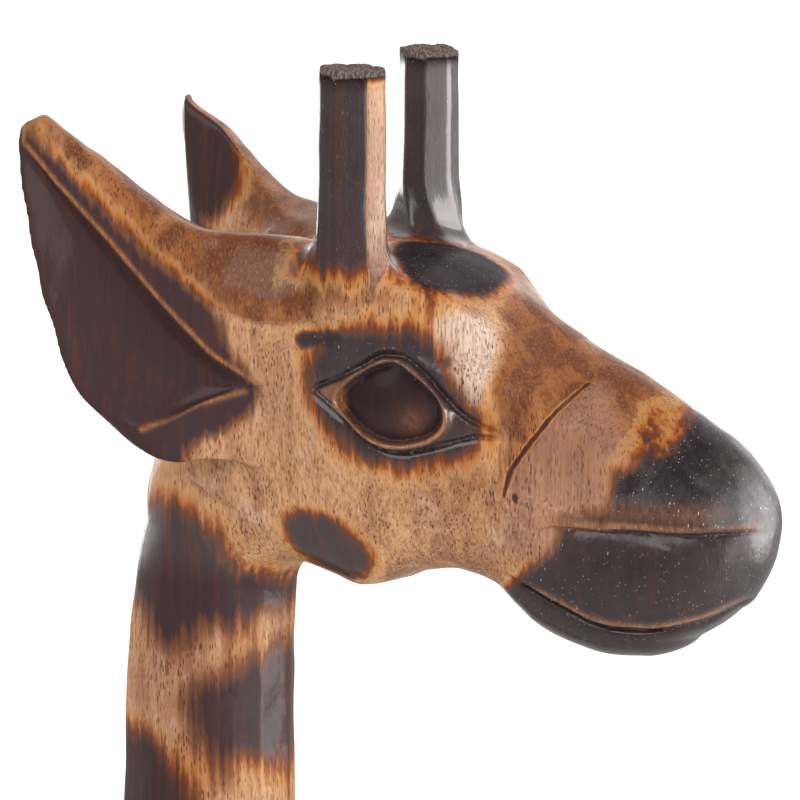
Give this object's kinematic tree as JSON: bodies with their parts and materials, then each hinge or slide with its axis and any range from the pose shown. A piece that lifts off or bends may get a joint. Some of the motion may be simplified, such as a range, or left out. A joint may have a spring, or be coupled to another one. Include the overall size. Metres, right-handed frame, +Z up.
{
  "type": "carved giraffe statue",
  "caption": "Free-standing carved wooden giraffe with scorched spots, leaf-shaped ears and faceted horns, standing on its hooves.",
  "frame": {"origin": "on the floor, under the middle of the statue's whole length, in its plane of symmetry", "axes": "+X is the way the statue faces, +Y is its left side, +Z is up"},
  "size_m": [0.3682, 0.091, 1],
  "materials": {
    "carved_wood": "oiled and varnished, with scorched patches",
    "dowel_wood": "bare turned wood"
  },
  "bodies": {
    "root": {"head_and_neck": "carved_wood", "torso": "carved_wood", "front_left_leg": "carved_wood", "front_right_leg": "carved_wood", "rear_left_leg": "carved_wood", "rear_right_leg": "carved_wood", "tail": "carved_wood", "neck_dowels": "dowel_wood", "leg_dowels": "dowel_wood"}
  },
  "joints": []
}
